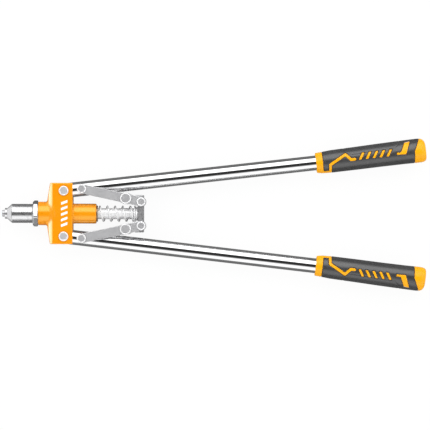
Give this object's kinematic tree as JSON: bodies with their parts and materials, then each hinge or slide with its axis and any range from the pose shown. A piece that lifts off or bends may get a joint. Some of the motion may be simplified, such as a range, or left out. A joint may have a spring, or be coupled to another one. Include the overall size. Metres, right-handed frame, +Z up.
{
  "type": "hand riveter",
  "caption": "Two-handed long-arm blind riveter lying flat with its arms closed: nose, head, pull rod with return spring, crosshead and links, and tube arms with soft grips.",
  "frame": {"origin": "centre of the base of the bounding box, with the tool lying flat and its arms closed", "axes": "+X from the nose to the grips along the rivet's axis, +Y towards the right arm, +Z up, along the arm pivots"},
  "size_m": [0.4298, 0.1544, 0.0268],
  "materials": {
    "orange_paint": "gloss paint on cast steel",
    "chrome": "polished chrome plate",
    "nut_plating": "bright nickel plate",
    "zinc_plate": "satin zinc plate",
    "hard_steel": "hardened and ground",
    "spring_steel": "bright plated wire",
    "bush_bronze": "sintered bronze",
    "orange_plastic": "semi-gloss moulding",
    "soft_grip": "satin soft moulding"
  },
  "bodies": {
    "head": {"head_body": "orange_paint", "nose_sleeve": "chrome", "sleeve_lock_nut": "nut_plating", "nozzle": "hard_steel", "barrel_bush": "bush_bronze", "pivot_pin_right": "zinc_plate", "pivot_pin_left": "zinc_plate", "pivot_clip_right": "hard_steel", "pivot_clip_left": "hard_steel", "return_spring": "spring_steel"},
    "arm_right": {"arm_tube_right": "chrome", "arm_insert_right": "hard_steel", "grip_core_right": "orange_plastic", "grip_cover_right": "soft_grip", "link_pin_right": "zinc_plate"},
    "arm_left": {"arm_tube_left": "chrome", "arm_insert_left": "hard_steel", "grip_core_left": "orange_plastic", "grip_cover_left": "soft_grip", "link_pin_left": "zinc_plate"},
    "link_right": {"link_plate_top_right": "zinc_plate", "link_plate_back_right": "zinc_plate", "link_spacer_right": "zinc_plate", "crosshead_pin_right": "zinc_plate"},
    "link_left": {"link_plate_top_left": "zinc_plate", "link_plate_back_left": "zinc_plate", "link_spacer_left": "zinc_plate", "crosshead_pin_left": "zinc_plate"},
    "pull_rod": {"pull_rod": "chrome", "jaw_case": "hard_steel", "jaw_case_nut": "hard_steel", "spring_washer": "chrome", "rod_lock_nut": "chrome", "crosshead": "zinc_plate", "jaw_spring": "spring_steel"},
    "jaw_pusher": {"jaw_pusher": "hard_steel"},
    "jaw_1": {"jaw_1": "hard_steel"},
    "jaw_2": {"jaw_2": "hard_steel"},
    "jaw_3": {"jaw_3": "hard_steel"}
  },
  "joints": [
    {"name": "arm_right_pivot", "type": "hinge", "parent": "head", "child": "arm_right", "pos_m": [-0.15232, 0.0231, 0.0134], "axis": [0, 0, 1], "range_deg": [0, 60]},
    {"name": "arm_left_pivot", "type": "hinge", "parent": "head", "child": "arm_left", "pos_m": [-0.15232, -0.0231, 0.0134], "axis": [0, 0, -1], "range_deg": [0, 60]},
    {"name": "link_right_pivot", "type": "hinge", "parent": "arm_right", "child": "link_right", "pos_m": [-0.13434, 0.02515, 0.0134], "axis": [0, 0, -1], "range_deg": [0, 74.36]},
    {"name": "link_left_pivot", "type": "hinge", "parent": "arm_left", "child": "link_left", "pos_m": [-0.13434, -0.02515, 0.0134], "axis": [0, 0, 1], "range_deg": [0, 74.36]},
    {"name": "pull_slide", "type": "slide", "parent": "head", "child": "pull_rod", "axis": [-1, 0, 0], "range_m": [0, 0.01586], "stiffness_N_per_m": 3400, "springref_m": -0.002, "deforming": ["return_spring"]},
    {"name": "jaw_pusher_slide", "type": "slide", "parent": "pull_rod", "child": "jaw_pusher", "axis": [1, 0, 0], "range_m": [0, 0.005], "deforming": ["jaw_spring"]},
    {"name": "jaw_1_slide", "type": "slide", "parent": "pull_rod", "child": "jaw_1", "axis": [0.9879, 0, -0.1552], "range_m": [0, 0.00506]},
    {"name": "jaw_2_slide", "type": "slide", "parent": "pull_rod", "child": "jaw_2", "axis": [0.9879, 0.1344, 0.0776], "range_m": [0, 0.00506]},
    {"name": "jaw_3_slide", "type": "slide", "parent": "pull_rod", "child": "jaw_3", "axis": [0.9879, -0.1344, 0.0776], "range_m": [0, 0.00506]}
  ],
  "couplings": [
    {"joint": "arm_left_pivot", "follows": "arm_right_pivot", "ratio": 1},
    {"joint": "link_right_pivot", "follows": "arm_right_pivot", "ratio": 1.2392},
    {"joint": "link_left_pivot", "follows": "arm_right_pivot", "ratio": 1.2392},
    {"joint": "pull_slide", "follows": "arm_right_pivot", "m_per_rad": 0.015147},
    {"joint": "jaw_pusher_slide", "follows": "arm_right_pivot", "m_per_rad": 0.004774},
    {"joint": "jaw_1_slide", "follows": "arm_right_pivot", "m_per_rad": 0.004833},
    {"joint": "jaw_2_slide", "follows": "arm_right_pivot", "m_per_rad": 0.004833},
    {"joint": "jaw_3_slide", "follows": "arm_right_pivot", "m_per_rad": 0.004833}
  ]
}
